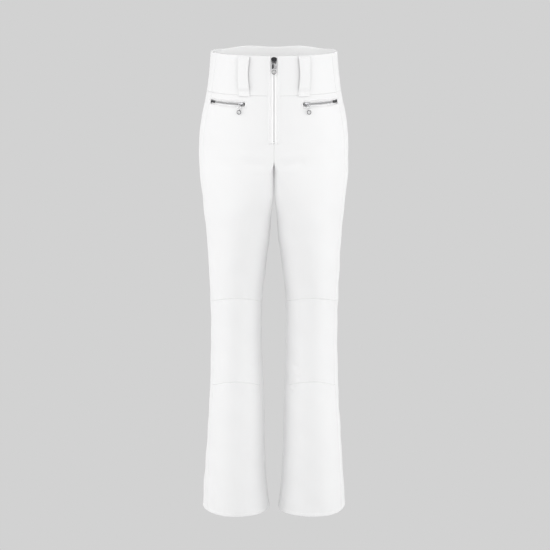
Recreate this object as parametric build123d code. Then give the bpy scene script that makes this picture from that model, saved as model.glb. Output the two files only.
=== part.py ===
from build123d import *
import os
from math import atan, cos, degrees, radians, sin

os.makedirs("parts", exist_ok=True)

# Frame: the origin is the centre of the waist opening, +Z is up, the front faces -Y
# and the wearer's left is +X. All sizes are in millimetres.

# ---- driving dimensions ----
CLOTH = 2.5                # padded soft-shell wall
LINING = 1.5               # facings and gaiter cloth
OUTSEAM = 1047.0           # waist edge to hem
WAISTBAND_DEPTH = 86.0
SIDE_SEAM_Y = -38.5        # side seam and inseam run a little in front of the middle
HIP_CREASE_TOP = -250.0
HIP_CREASE_BOTTOM = -400.0
KNEE_SEAM_TOP = -548.0
KNEE_SEAM_BOTTOM = -742.0
BODY_GAP = 0.4             # left open between cloth on two moving bodies
FRONT_DEPTH = 92.0         # half depth of the waist opening
FRONT_SLOPE = 20.0 / 190.0  # the front falls forward in a straight line along the fly

# half sections: height, outer x; for a leg also x of the section's middle, inner x, half depth
# and how far its inner corners round off from front and back
TORSO = [(0, 139.5), (-25, 141.0), (-60, 144.6), (-86, 148.0), (-108, 152.0),
         (-131, 157.0), (-153, 161.0), (-190, 165.0)]
LEG = [(-235, 166.0, 0.0, 0.0, 114.0, 20.0), (-262, 165.5, 20.0, 0.6, 113.5, 20.0),
       (-300, 162.0, 38.0, 0.8, 111.0, 20.0), (-331, 158.0, 52.0, 3.6, 108.0, 26.0),
       (-356, 155.4, 60.0, 6.4, 105.0, 36.0), (-400, 150.3, 70.0, 8.8, 99.0, 52.0),
       (-448, 147.2, 78.0, 14.6, 93.0, 62.0), (-493, 145.5, 82.0, 19.8, 87.0, 66.0),
       (-548, 143.6, 84.5, 25.6, 80.5, 68.0), (-610, 142.9, 85.3, 27.6, 76.0, 68.0),
       (-656, 143.2, 85.7, 28.1, 74.5, 68.0), (-742, 145.5, 85.4, 25.2, 76.5, 70.0),
       (-796, 147.9, 85.4, 22.8, 79.0, 74.0), (-870, 152.6, 86.9, 21.1, 82.0, 77.0),
       (-940, 156.6, 87.7, 18.8, 85.0, 80.0), (-1000, 160.3, 87.5, 15.0, 87.0, 82.0),
       (-OUTSEAM, 162.0, 86.0, 9.8, 88.0, 83.0)]

# front zip
ZIP_TILT = -degrees(atan(FRONT_SLOPE))
FLY_HALF = 12.5            # the fly cut-out that the two lips fill
LIP_INNER = 7.0
ZIP_LENGTH = 190.0
SLIDER_DROP = 8.5          # slider's middle below the waist edge
COIL_GAP = 0.9             # half gap in which the slider's neck runs
COIL_HALF = 3.4
TAPE_HALF = 12.2
ZIP_TOP = -0.2             # the tape and lips end just below the waist edge
# depths behind the cloth's outer face, measured square to it
LIP_DEPTH = (-0.7, 3.3)
TAPE_DEPTH = (3.35, 4.15)
COIL_DEPTH = (4.15, 5.9)
SHIELD_DEPTH = (8.2, 9.4)

# pocket zips lie on a circular arc about an upright axis
POCKET_Z = -105.4
POCKET_AXIS = (29.7, 36.2)
POCKET_R = 134.2
POCKET_TILT = 8.5
POCKET_WINDOW = (-75.6, -36.4)
POCKET_SLIDER_AT = -71.6
POCKET_HALF_WINDOW = 5.6
WELT_WIDTH = 3.0
WELT_END = 1.3             # degrees past the window at each end

SLIDER_HALF = 6.4          # half length of every slider

# pulls and rings
PIVOT_DEPTH = -1.9         # the front pull's bar, under the bridge
PIVOT_DROP = 3.2
FRONT_PULL = 17.0
BRIDGE_DEPTH = -2.6        # middle of a pocket slider's bridge, which its pull hangs on
HOOK_DEPTH = -2.9          # middle of the wire where a ring hangs
POCKET_HANG = -2.6         # the pocket pull hangs off the slider's middle, away from the fly
POCKET_EYE_DROP = 13.3     # from the bridge to the eye that holds the ring
RING_R = 4.2
RING_WIRE = 0.7

# belt loops
LOOP_FRONT_X = 64.5
LOOP_BACK_X = 85.0
LOOP_WIDTH = 24.0
LOOP_CLOTH = 1.6
LOOP_GAP = 3.0
LOOP_SEWN = 6.0
LOOP_INSET = 1.0
LOOP_TAIL = 2.5

# hems and gaiters
HEM_FACING = 28.0
# the gaiter's sections: height, x of the middle, half width, half depth
GAITER = [(-850, 87.0, 61.5, 77.4), (-910, 87.2, 58.5, 72.0), (-1036, 86.0, 57.0, 66.0)]
GRIP_HEIGHT = 18.0
GRIP_THICK = 1.55
GRIP_GAP = 0.05


def front_half_depth(z):
    return FRONT_DEPTH - FRONT_SLOPE * z


def half_section(z, outer, middle, inner, depth, corner):
    """One leg's section: a half ellipse outside and rounded corners inside, or a D above the crotch."""
    plane = Plane(origin=(0, 0, z), x_dir=(1, 0, 0), z_dir=(0, 0, 1))
    reach = middle - inner
    flat = depth - corner
    outside = EllipticalCenterArc((middle, 0), outer - middle, depth, start_angle=-90, arc_size=180)
    if reach < 0.01:
        back = Line((middle, depth), (inner, flat))
        front = Line((inner, -flat), (middle, -depth))
    else:
        back = EllipticalCenterArc((middle, flat), reach, corner, start_angle=90, arc_size=90)
        front = EllipticalCenterArc((middle, -flat), reach, corner, start_angle=180, arc_size=90)
    return plane * make_face([outside, back, Line((inner, flat), (inner, -flat)), front])


def half_stations():
    """Every section of the left half, from the waist to the hem."""
    rows = [(z, outer, 0.0, 0.0, front_half_depth(z), LEG[0][-1]) for z, outer in TORSO]
    return rows + LEG


def inset_section(station, inset):
    """A station's section with its walls moved in by inset; a D's flat side stays where it is."""
    z, outer, middle, inner, depth, corner = station
    wall = inset if middle > 0 else 0.0
    return half_section(z, outer - inset, middle, inner + wall, depth - inset, corner - inset)


def half_solid(inset, top=0.0, bottom=0.0):
    """The left half as a solid, its walls moved in by inset. The ends run on by top and bottom."""
    sections = [inset_section(station, inset) for station in half_stations()]
    body = loft(sections, ruled=True)
    if top:
        body += extrude(sections[0], amount=top, dir=(0, 0, 1))
    if bottom:
        body += extrude(sections[-1], amount=bottom, dir=(0, 0, -1))
    return body


def block(x0, x1, y0, y1, z0, z1):
    """A box between two corners, given in either order."""
    middle = Pos((x0 + x1) / 2, (y0 + y1) / 2, (z0 + z1) / 2)
    return middle * Box(abs(x1 - x0), abs(y1 - y0), abs(z1 - z0))


def flip(shape):
    """The same piece on the wearer's right."""
    return mirror(shape, about=Plane.YZ)


def save(node, *solids):
    pieces = []
    for item in solids:
        pieces += [s for s in item.solids() if s.volume > 0.5]
    whole = Compound(label=node, children=pieces) if len(pieces) > 1 else pieces[0]
    whole.label = node
    export_step(whole, f"parts/{node}.step")
    print(node, len(pieces), round(sum(s.volume for s in pieces)))


# ---- cloth walls ----
FAR = 400.0


def walls(inset, thickness):
    """The hollow left half between two offsets of the outer surface."""
    outer = half_solid(inset)
    inner = half_solid(inset + thickness, top=5.0, bottom=5.0)
    return outer - inner


def band(shape, z0, z1, front=None):
    """The stretch of a wall between two heights, in front of or behind the side seam."""
    y0 = -FAR if front in (True, None) else SIDE_SEAM_Y
    y1 = FAR if front in (False, None) else SIDE_SEAM_Y
    return shape & block(-1, FAR, y0, y1, z0, z1)


def zip_place():
    return Location((0, -FRONT_DEPTH, 0), (ZIP_TILT, 0, 0))


def fly_cut():
    return zip_place() * block(-FLY_HALF, FLY_HALF, -30, 30, -ZIP_LENGTH, 30)


def pocket_corner(depth, up):
    """A point of the pocket's profile: depth inwards from the cloth and height along it."""
    lean = radians(POCKET_TILT)
    radial = POCKET_R - depth * cos(lean) - up * sin(lean)
    return radial, POCKET_Z - depth * sin(lean) + up * cos(lean)


def pocket_ring(depth0, depth1, up0, up1, start, end):
    """A strip that follows the pocket zip's arc from one azimuth to another."""
    corners = [pocket_corner(depth0, up0), pocket_corner(depth1, up0),
               pocket_corner(depth1, up1), pocket_corner(depth0, up1)]
    direction = (cos(radians(start)), sin(radians(start)), 0)
    plane = Plane(origin=(*POCKET_AXIS, 0), x_dir=direction,
                  z_dir=Vector(direction).cross(Vector(0, 0, 1)))
    profile = plane * make_face(Polyline(*corners, close=True))
    return revolve(profile, axis=Axis((*POCKET_AXIS, 0), (0, 0, 1)), revolution_arc=end - start)


def pocket_window():
    """The cut-out in the hip panel that the welt fills."""
    start, end = POCKET_WINDOW
    half = POCKET_HALF_WINDOW + WELT_WIDTH + 0.05
    return pocket_ring(-14, 14, -half, half, start - WELT_END - 0.02, end + WELT_END + 0.02)


def make_shells():
    wall = walls(0.0, CLOTH)
    fly = fly_cut()
    window = pocket_window()

    waist_front = band(wall, -WAISTBAND_DEPTH, 1, True) - fly
    save("waistband_front_left", waist_front)
    save("waistband_front_right", flip(waist_front))
    waist_back = band(wall, -WAISTBAND_DEPTH, 1, False)
    save("waistband_back", waist_back + flip(waist_back))

    hip_front = band(wall, HIP_CREASE_TOP, -WAISTBAND_DEPTH, True) - fly - window
    seat_back = band(wall, HIP_CREASE_TOP, -WAISTBAND_DEPTH, False)
    crease_low = HIP_CREASE_BOTTOM + BODY_GAP
    knee_low = KNEE_SEAM_BOTTOM + BODY_GAP
    bands = [("hip_front", hip_front),
             ("seat_back", seat_back),
             ("hip_crease_front", band(wall, crease_low, HIP_CREASE_TOP, True)),
             ("hip_crease_back", band(wall, crease_low, HIP_CREASE_TOP, False)),
             ("thigh_front", band(wall, KNEE_SEAM_TOP, HIP_CREASE_BOTTOM, True)),
             ("thigh_back", band(wall, KNEE_SEAM_TOP, HIP_CREASE_BOTTOM, False)),
             ("knee_panel", band(wall, knee_low, KNEE_SEAM_TOP, True)),
             ("knee_back", band(wall, knee_low, KNEE_SEAM_TOP, False)),
             ("shin_front", band(wall, -OUTSEAM - 1, KNEE_SEAM_BOTTOM, True)),
             ("calf_back", band(wall, -OUTSEAM - 1, KNEE_SEAM_BOTTOM, False))]
    for name, shape in bands:
        save(f"{name}_left", shape)
        save(f"{name}_right", flip(shape))


def make_linings():
    """Waist facing, turned-up hem facings and the snow gaiters inside the legs."""
    inner = walls(CLOTH, LINING)
    front = band(inner, -WAISTBAND_DEPTH + 4, -1) - block(-26, 26, -FAR, 0, -FAR, 10)
    save("waistband_facing", front + flip(front))
    hem = band(inner, -OUTSEAM + 2, -OUTSEAM + HEM_FACING)
    gaiter = make_gaiter()
    grip = make_grip()
    for side, place in (("left", lambda s: s), ("right", flip)):
        save(f"hem_facing_{side}", place(hem))
        save(f"snow_gaiter_{side}", place(gaiter))
        save(f"gaiter_elastic_{side}", place(grip))


def gaiter_sections(inset):
    return [Pos(x, 0, z) * Ellipse(rx - inset, ry - inset) for z, x, rx, ry in GAITER]


def make_gaiter():
    """A sleeve sewn to the leg at its top and hanging free inside the hem."""
    outer = loft(gaiter_sections(0.0), ruled=True)
    inner = loft(gaiter_sections(LINING), ruled=True)
    return outer - inner


def make_grip():
    """The elastic with its grip strip, sewn round inside the gaiter's lower edge."""
    z, x, rx, ry = GAITER[-1]

    def ring(inset):
        return Pos(x, 0, z) * Ellipse(rx - LINING - inset, ry - LINING - inset)
    outer = extrude(ring(GRIP_GAP), amount=GRIP_HEIGHT)
    return outer - extrude(ring(GRIP_GAP + GRIP_THICK), amount=GRIP_HEIGHT)


# ---- belt loops ----
def make_belt_loops():
    """Five flat loops, sewn down at both ends, with a slot behind for the belt."""
    low = -WAISTBAND_DEPTH - LOOP_TAIL
    strip = walls(-LOOP_GAP - LOOP_CLOTH, LOOP_GAP + LOOP_CLOTH)
    slot = walls(-LOOP_GAP, LOOP_GAP + 1)
    slot = slot & block(-FAR, FAR, -FAR, FAR, low + LOOP_SEWN, -LOOP_INSET - LOOP_SEWN)
    cloth = strip - slot
    cloth = cloth + flip(cloth)
    half = LOOP_WIDTH / 2
    loops = []
    for x, y0, y1 in [(LOOP_FRONT_X, -FAR, 0), (-LOOP_FRONT_X, -FAR, 0),
                      (LOOP_BACK_X, 0, FAR), (0, 0, FAR), (-LOOP_BACK_X, 0, FAR)]:
        loops.append(cloth & block(x - half, x + half, y0, y1, low, -LOOP_INSET))
    save("belt_loops", *loops)


# ---- front zip ----
def make_fly():
    place = zip_place()
    lip = place * block(LIP_INNER, FLY_HALF, *LIP_DEPTH, -ZIP_LENGTH, ZIP_TOP)
    tape = place * block(COIL_GAP, TAPE_HALF, *TAPE_DEPTH, -ZIP_LENGTH, ZIP_TOP)
    coil = place * block(COIL_GAP, COIL_HALF, *COIL_DEPTH, -ZIP_LENGTH + 6, -1.4)
    for name, shape in (("fly_lip", lip), ("front_zip_tape", tape), ("front_zip_coil", coil)):
        save(f"{name}_left", shape)
        save(f"{name}_right", flip(shape))
    front, back = SHIELD_DEPTH
    shield = block(-20, 24, front, back, -ZIP_LENGTH, -3)
    shield += block(22.5, 24, TAPE_DEPTH[1] - 0.25, front, -ZIP_LENGTH, -3)
    save("fly_shield", place * shield)
    top_stops = [place * block(s * COIL_GAP, s * 3.0, *COIL_DEPTH, -1.3, ZIP_TOP) for s in (1, -1)]
    save("front_zip_top_stops", *top_stops)
    save("front_zip_bottom_stop", place * block(-3.2, 3.2, 4.2, 6.4, -ZIP_LENGTH, -ZIP_LENGTH + 5.8))


def slider_plate(half, front, back):
    """A slider's plate, wide at its shoulders and narrow at its tail."""
    outline = [(-0.92 * half, 0.55 * half), (-0.5 * half, SLIDER_HALF), (0.5 * half, SLIDER_HALF),
               (0.92 * half, 0.55 * half), (half, 0.2 * half), (0.66 * half, -SLIDER_HALF),
               (-0.66 * half, -SLIDER_HALF), (-half, 0.2 * half)]
    face = Plane.XZ * make_face(Polyline(*outline, close=True))
    return Pos(0, back, 0) * extrude(face, amount=back - front)


def front_slider():
    """Front plate before the tape, back plate with flanges round the coil, neck and bridge."""
    shape = slider_plate(6.5, 1.2, 2.9)
    shape += slider_plate(4.7, 6.2, 7.4)
    for s in (1, -1):
        shape += block(s * 3.8, s * 4.6, 4.5, 6.3, -5.5, 1.0)
    shape += block(-0.45, 0.45, 2.8, 6.3, 3.2, 6.2)
    shape += block(-1.5, 1.5, -3.9, -2.9, -5.6, 3.6)
    shape += block(-1.5, 1.5, -3.0, 1.3, -5.6, -4.2)
    shape += block(-1.5, 1.5, -3.0, 1.3, 2.2, 3.6)
    return shape


def front_pull():
    """A framed plate on a round bar that turns under the slider's bridge."""
    x, y, z = 0.0, PIVOT_DEPTH, -PIVOT_DROP
    bar = Pos(x, y, z) * Rot(0, 90, 0) * Cylinder(0.7, 6.4)
    plate = block(-5.2, 5.2, y - 0.6, y + 0.6, z - FRONT_PULL, z + 1.0)
    plate -= block(-2.1, 2.1, y - 1, y + 1, z - 8.2, z + 2)
    eye = Pos(x, HOOK_DEPTH, z - FRONT_PULL - 2.0) * Rot(0, 90, 0) * Torus(1.5, 0.6)
    stem = block(-0.6, 0.6, HOOK_DEPTH - 0.5, y + 0.6, z - FRONT_PULL - 0.9, z - FRONT_PULL + 0.4)
    return bar + plate + eye + stem


def ring(z):
    """The round ring that hangs from the pull's eye; z is the top of its wire's middle line."""
    return Pos(0, HOOK_DEPTH, z - RING_R) * Rot(90, 0, 0) * Torus(RING_R, RING_WIRE)


def make_front_slider():
    place = zip_place() * Pos(0, 0, -SLIDER_DROP)
    save("front_zip_slider", place * front_slider())
    save("front_zip_pull", place * front_pull())
    save("front_zip_ring", place * ring(-PIVOT_DROP - FRONT_PULL - 2.0))


# ---- pocket zips ----
def pocket_place():
    """Slider frame on the pocket's arc: x up the cloth, y inwards, z towards the fly."""
    turn = radians(POCKET_SLIDER_AT)
    lean = radians(POCKET_TILT)
    out = Vector(cos(turn), sin(turn), 0)
    up = Vector(-sin(lean) * out.X, -sin(lean) * out.Y, cos(lean))
    origin = Vector(*POCKET_AXIS, POCKET_Z) + out * POCKET_R
    along = Vector(sin(turn), -cos(turn), 0)
    return Plane(origin=origin, x_dir=up, z_dir=along).location


def pocket_slider():
    shape = slider_plate(4.4, 0.3, 1.4)
    shape += slider_plate(4.2, 4.8, 6.0)
    for s in (1, -1):
        shape += block(s * 3.2, s * 4.2, 1.3, 3.2, -5.5, 1.0)
    shape += block(-0.45, 0.45, 1.3, 4.9, 3.2, 6.2)
    shape += block(-0.7, 0.7, BRIDGE_DEPTH - 0.5, BRIDGE_DEPTH + 0.5, -4.6, 4.6)
    for z in (-4.6, 3.4):
        shape += block(-0.7, 0.7, BRIDGE_DEPTH, 0.4, z, z + 1.2)
    return shape


def pocket_pull():
    """A wire frame hanging from the bridge: an eye above, an eye for the ring below."""
    y = BRIDGE_DEPTH
    top_eye = Pos(0, y, 0) * Torus(1.75, 0.55)
    frame = block(-11.5, -1.9, y - 0.55, y + 0.55, -3.4, 3.4)
    frame -= block(-10.4, -3.1, y - 1, y + 1, -2.3, 2.3)
    eye = Pos(-POCKET_EYE_DROP, HOOK_DEPTH, 0) * Torus(1.5, 0.6)
    stem = block(-12.3, -11.2, HOOK_DEPTH - 0.5, y + 0.5, -0.6, 0.6)
    return Pos(0, 0, POCKET_HANG) * (top_eye + frame + eye + stem)


def pocket_ring_charm():
    place = Pos(-POCKET_EYE_DROP - RING_R, HOOK_DEPTH, POCKET_HANG) * Rot(90, 0, 0)
    return place * Torus(RING_R, RING_WIRE)


def make_pockets():
    start, end = POCKET_WINDOW
    half = POCKET_HALF_WINDOW
    tape = pocket_ring(3.75, 4.5, COIL_GAP, 9.5, start - 2, end + 2)
    tape += pocket_ring(3.75, 4.5, -9.5, -COIL_GAP, start - 2, end + 2)
    coil = [pocket_ring(1.8, 3.7, COIL_GAP, 2.7, start + 1.2, end - 6.2),
            pocket_ring(1.8, 3.7, -2.7, -COIL_GAP, start + 1.2, end - 6.2)]
    stops = [pocket_ring(0.9, 3.7, -2.6, 2.6, end - 6.1, end - 0.6),
             pocket_ring(1.8, 3.7, -2.4, 2.4, start + 0.3, start + 1.0)]
    reach = half + WELT_WIDTH
    welt = pocket_ring(-0.7, 3.0, -reach, reach, start - WELT_END, end + WELT_END)
    welt -= pocket_ring(-2, 4, -half, half, start, end)
    bag = pocket_ring(9.6, 11.2, -116.0, 11.0, start + 1, end - 8)
    place = pocket_place()
    pieces = [("pocket_zip_tape", tape), ("pocket_zip_coil", coil), ("pocket_zip_stops", stops),
              ("pocket_welt", welt), ("pocket_bag", bag),
              ("pocket_zip_slider", place * pocket_slider()),
              ("pocket_zip_pull", place * pocket_pull()),
              ("pocket_zip_ring", place * pocket_ring_charm())]
    for name, shape in pieces:
        solids = shape if isinstance(shape, list) else [shape]
        save(f"{name}_left", *solids)
        save(f"{name}_right", *[flip(s) for s in solids])


make_shells()
make_linings()
make_belt_loops()
make_fly()
make_front_slider()
make_pockets()
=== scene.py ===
from math import atan, cos, pi, radians, sin

import bmesh
import bpy
import numpy as np
from mathutils import Matrix, Vector


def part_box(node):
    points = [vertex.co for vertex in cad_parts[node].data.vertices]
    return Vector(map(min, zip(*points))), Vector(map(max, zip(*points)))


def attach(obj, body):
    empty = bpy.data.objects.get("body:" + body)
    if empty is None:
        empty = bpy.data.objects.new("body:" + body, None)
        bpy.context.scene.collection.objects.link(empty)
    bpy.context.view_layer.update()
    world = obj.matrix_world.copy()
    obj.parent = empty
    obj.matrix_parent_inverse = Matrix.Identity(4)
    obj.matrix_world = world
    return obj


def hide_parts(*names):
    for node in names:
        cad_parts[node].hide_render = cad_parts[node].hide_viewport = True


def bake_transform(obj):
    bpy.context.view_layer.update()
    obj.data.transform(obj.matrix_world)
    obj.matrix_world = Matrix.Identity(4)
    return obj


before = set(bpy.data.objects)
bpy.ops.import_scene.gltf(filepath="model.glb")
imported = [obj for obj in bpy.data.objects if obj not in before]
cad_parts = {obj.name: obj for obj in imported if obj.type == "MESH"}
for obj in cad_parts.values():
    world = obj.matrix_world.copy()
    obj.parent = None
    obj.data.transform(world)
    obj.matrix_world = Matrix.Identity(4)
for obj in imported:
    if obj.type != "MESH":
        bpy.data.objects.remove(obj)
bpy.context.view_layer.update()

# Metres, in the frame of the CAD model: the origin is the centre of the waist opening, the front
# faces -Y and the wearer's left is +X. The hardware is given in millimetres in its own frames.

# ---- the cloth's shape ----
# millimetres: height, outer x, x of the middle, inner x, half depth, and the depth of the inner
# half's rounded corners
SECTIONS = np.array([
    (0, 139.5, 0, 0, 92, 20), (-25, 141, 0, 0, 94.6, 20), (-60, 144.6, 0, 0, 98.3, 20),
    (-86, 148, 0, 0, 101.1, 20), (-108, 152, 0, 0, 103.4, 20), (-131, 157, 0, 0, 105.8, 20),
    (-153, 161, 0, 0, 108.1, 20), (-190, 165, 0, 0, 112, 20), (-235, 166, 5, 0, 114, 20),
    (-262, 165.5, 20, 0.6, 113.5, 20), (-300, 162, 38, 0.8, 111, 20), (-331, 158, 52, 3.6, 108, 26),
    (-356, 155.4, 60, 6.4, 105, 36), (-400, 150.3, 70, 8.8, 99, 52), (-448, 147.2, 78, 14.6, 93, 62),
    (-493, 145.5, 82, 19.8, 87, 66), (-548, 143.6, 84.5, 25.6, 80.5, 68),
    (-610, 142.9, 85.3, 27.6, 76, 68), (-656, 143.2, 85.7, 28.1, 74.5, 68),
    (-742, 145.5, 85.4, 25.2, 76.5, 70), (-796, 147.9, 85.4, 22.8, 79, 74),
    (-870, 152.6, 86.9, 21.1, 82, 77), (-940, 156.6, 87.7, 18.8, 85, 80), (-1000, 160.3, 87.5, 15, 87, 82),
    (-1047, 162, 86, 9.8, 88, 83)]) / 1000
WAIST_SEAM = -0.086
CROTCH = -0.229             # where the legs part at the front and back
CROTCH_DIP = 0.027          # how much lower the crotch seam runs between the legs
PARTING = 0.022             # below that seam, the height in which the legs' inner sides fill out
HEM = -1.047
SIDE_SEAM_Y = -0.0385
KNEE_TOP = -0.541           # upper knee seam at the middle of the leg's front
KNEE_TOP_DROP = 0.019       # and how much lower it runs at the sides
KNEE_LOW = -0.734
KNEE_LOW_DROP = 0.022
FLY_END = -0.190
FLY_HALF = 0.0125
POCKET_Z = -0.1054
POCKET_NEAR = -1.150        # azimuth of the pocket opening's ends, on the cloth
POCKET_FAR = -0.418
POCKET_CUT = 0.0075         # half the height of the opening cut in the cloth

CLOTH = 0.0022              # thickness of a panel
LINING = 0.0012
GAITER_CLOTH = 0.0010
ELASTIC = 0.0014
BEHIND = -CLOTH - 0.0001    # lift of a layer that lies behind the outer cloth
STEP = 0.0034               # spacing of the cloth's mesh
FAR = 1.0                   # distance that counts as away from any border
WELD = 2e-6                 # points closer than this are one point

# Folds on the wearer's left, and fainter ones on the right: two ends, half width, height.
FOLDS = [
    ((0.004, -0.113, -0.222), (0.082, -0.102, -0.212), 0.0065, 0.0013),
    ((0.006, -0.113, -0.238), (0.074, -0.106, -0.232), 0.0050, -0.0011),
    ((0.010, -0.113, -0.251), (0.060, -0.108, -0.250), 0.0050, 0.0007),
    ((0.026, -0.050, -0.715), (0.062, -0.072, -0.722), 0.0050, 0.0013),
    ((0.026, -0.045, -0.700), (0.055, -0.068, -0.702), 0.0045, -0.0011),
    ((0.027, -0.040, -0.752), (0.050, -0.066, -0.758), 0.0045, 0.0010),
    ((0.015, 0.108, -0.275), (0.100, 0.096, -0.300), 0.0090, -0.0034),
    ((0.020, 0.106, -0.300), (0.110, 0.088, -0.332), 0.0085, 0.0024),
    ((0.045, 0.072, -0.620), (0.125, 0.060, -0.612), 0.0075, -0.0028),
    ((0.050, 0.072, -0.642), (0.120, 0.062, -0.640), 0.0075, 0.0022),
    ((0.045, 0.072, -0.664), (0.125, 0.060, -0.672), 0.0075, -0.0026),
]


def smooth(t):
    t = np.clip(t, 0.0, 1.0)
    return t * t * (3 - 2 * t)


def monotone(x, y, at):
    """Smooth curve through the points (x rising) that never overshoots them."""
    h = np.diff(x)
    rise = np.diff(y) / h
    slope = np.zeros(len(x))
    same = rise[:-1] * rise[1:] > 0
    total = np.where(same, rise[:-1] + rise[1:], 1.0)
    slope[1:-1] = np.where(same, 2.0 * rise[:-1] * rise[1:] / total, 0.0)
    slope[0], slope[-1] = rise[0], rise[-1]
    i = np.clip(np.searchsorted(x, at) - 1, 0, len(x) - 2)
    t = (at - x[i]) / h[i]
    start = (1 + 2 * t) * (1 - t) ** 2 * y[i] + t * (1 - t) ** 2 * h[i] * slope[i]
    return start + t * t * (3 - 2 * t) * y[i + 1] + t * t * (t - 1) * h[i] * slope[i + 1]


def section(z):
    """Outer x, middle x, inner x, half depth and inner corner's depth at height z."""
    drop = np.clip(-np.asarray(z, float), 0.0, -HEM)
    return [monotone(-SECTIONS[:, 0], SECTIONS[:, k], drop) for k in range(1, 6)]


def corner_share(reach, depth, corner):
    """The part of an inner quarter that its rounded corner takes; a flat wall takes the rest."""
    return (corner + reach) / (corner + reach + depth - corner)


def crotch_line(phi):
    """Height of the crotch seam, lowest midway between the front and the back."""
    return CROTCH - CROTCH_DIP * np.abs(np.minimum(np.cos(phi), 0.0))


def bare(phi, z):
    """The left half's surface and its normal in the plane of the section. phi is -90 degrees at
    the front, 0 on the outer side, 90 at the back and 180 on the inner side of the leg."""
    outer, middle, inner, depth, corner = section(z)
    parted = np.sqrt(smooth((crotch_line(phi) - z) / PARTING))
    middle, inner = middle * parted, inner * parted
    c, s = np.cos(phi), np.sin(phi)
    inward = c < -1e-9
    reach = np.where(inward, middle - inner, outer - middle)
    share = corner_share(reach, depth, corner)
    quarter = np.arctan2(np.abs(c), np.abs(s)) / (pi / 2)
    turn = np.where(inward, np.clip(quarter / share, 0.0, 1.0), quarter) * pi / 2
    along = np.where(inward, np.clip((quarter - share) / (1.0 - share), 0.0, 1.0), 0.0)
    radius = np.where(inward, corner, depth)
    x = middle + reach * np.sign(c) * np.sin(turn)
    y = np.sign(s) * ((depth - radius) * (1.0 - along) + radius * np.cos(turn))
    nx = radius * np.sign(c) * np.sin(turn)
    ny = np.sign(s) * np.maximum(reach, 0.004) * np.cos(turn)
    size = np.hypot(nx, ny)
    return x, y, nx / size, ny / size


def surface(phi, z):
    x, y, nx, ny = bare(phi, z)
    x2, y2, _, _ = bare(phi, z - 0.001)
    nz = ((x2 - x) * nx + (y2 - y) * ny) / 0.001
    length = np.sqrt(1 + nz * nz)
    points = np.stack([x, y, z + 0 * x], -1)
    return points, np.stack([nx / length, ny / length, nz / length], -1)


def seam_phi(z, inner=False):
    """Azimuth of the side seam, or of the inseam, at height z."""
    _, middle, inmost, depth, corner = section(z)
    if not inner:
        return -np.arcsin(-SIDE_SEAM_Y / depth)
    share = corner_share(middle - inmost, depth, corner)
    flat = depth - corner
    past = np.clip((-SIDE_SEAM_Y - flat) / corner, 0.0, 1.0)
    on_wall = share + (1.0 - share) * (1.0 + SIDE_SEAM_Y / flat)
    quarter = np.where(-SIDE_SEAM_Y > flat, share * np.arccos(past) / (pi / 2), on_wall)
    return -pi / 2 - quarter * pi / 2


def fly_phi(z):
    """Azimuth of the fly's cut edge above its end, and of the centre seam below it."""
    half = np.where(z > FLY_END + 0.0003, FLY_HALF, 0.0)
    return -np.arccos(half / section(z)[0])


def knee_seam(phi, level, drop):
    return level - drop * np.cos(phi) ** 2


# ---- relief: folds and waves of the cloth, as a height along the normal ----
def waves(p, seed, size, count=7):
    """Soft seeded bumps: a sum of plane waves of about the given size."""
    draw = np.random.default_rng(seed)
    total = np.zeros(p.shape[:-1])
    for _ in range(count):
        way = draw.normal(size=3)
        way /= np.linalg.norm(way)
        turn = 2 * pi / (size * draw.uniform(0.75, 1.4))
        total += np.sin((p @ way) * turn + draw.uniform(0, 2 * pi))
    return total / count ** 0.5


def fold(p, a, b, width, height):
    """A fold from a to b: a rounded ridge, or a valley if height is negative."""
    a, b = np.array(a), np.array(b)
    along = b - a
    t = ((p - a) @ along) / (along @ along)
    near = a + np.clip(t, 0, 1)[..., None] * along
    away = np.linalg.norm(p - near, axis=-1)
    return height * np.exp(-(away / width) ** 2) * smooth(t * 4) * smooth((1 - t) * 4)


def pucker(p, phi, seed):
    """Fine gathers beside the knee seams and the hem."""
    near = 0.0
    for level, drop in ((KNEE_TOP, KNEE_TOP_DROP), (KNEE_LOW, KNEE_LOW_DROP), (HEM + 0.007, 0.0)):
        near = near + np.exp(-((p[..., 2] - knee_seam(phi, level, drop)) / 0.011) ** 2)
    return near * waves(p * (1, 1, 0.35), seed, 0.017)


def relief(p, phi, side):
    """Height of the cloth above its smooth shape. It fades out at the centre and the zips."""
    q = p * (side, 1, 1)
    low = smooth((WAIST_SEAM - 0.03 - p[..., 2]) / 0.09)
    hem = smooth((-0.86 - p[..., 2]) / 0.15)
    # heights, and how far each kind of wave is drawn out down the leg
    soft = 0.0008 * waves(q * (1, 1, 0.5), 3, 0.120) + 0.0004 * waves(q * (1, 1, 0.8), 8, 0.048)
    soft = soft + 0.0009 * hem * waves(q * (1, 1, 0.15), 21, 0.075)
    high = soft * (0.12 + 0.88 * low) + 0.00028 * pucker(q, phi, 5)
    strength = 1.0 if side > 0 else 0.75
    for a, b, width, height in FOLDS:
        high = high + strength * fold(p, a, b, width, height)
    return high * smooth(p[..., 0] / 0.028)


def laid(phi, z, side, lift=0.0):
    """Points and normals on the cloth, lifted off it, on the wearer's left (1) or right (-1)."""
    phi, z = np.broadcast_arrays(np.asarray(phi, float), np.asarray(z, float))
    p, n = surface(phi, z)
    p = p + n * (relief(p, phi, side) + lift)[..., None]
    return p, n


# ---- cloth pieces: closed shells with rolled edges, made of grids ----
def spaced(length, start=True, end=True, step=STEP, roll=CLOTH / 2):
    """Shares from 0 to 1 along a length, closer together near a rolled edge."""
    edge = [0.0, 0.12, 0.4, 0.8, 1.5]
    first = [e * roll / length for e in edge] if start else [0.0]
    last = [1 - e * roll / length for e in reversed(edge)] if end else [1.0]
    gap = last[0] - first[-1]
    count = max(2, int(round(gap * length / step)))
    middle = [first[-1] + gap * k / count for k in range(1, count)]
    return np.array(first + middle + last)


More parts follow.
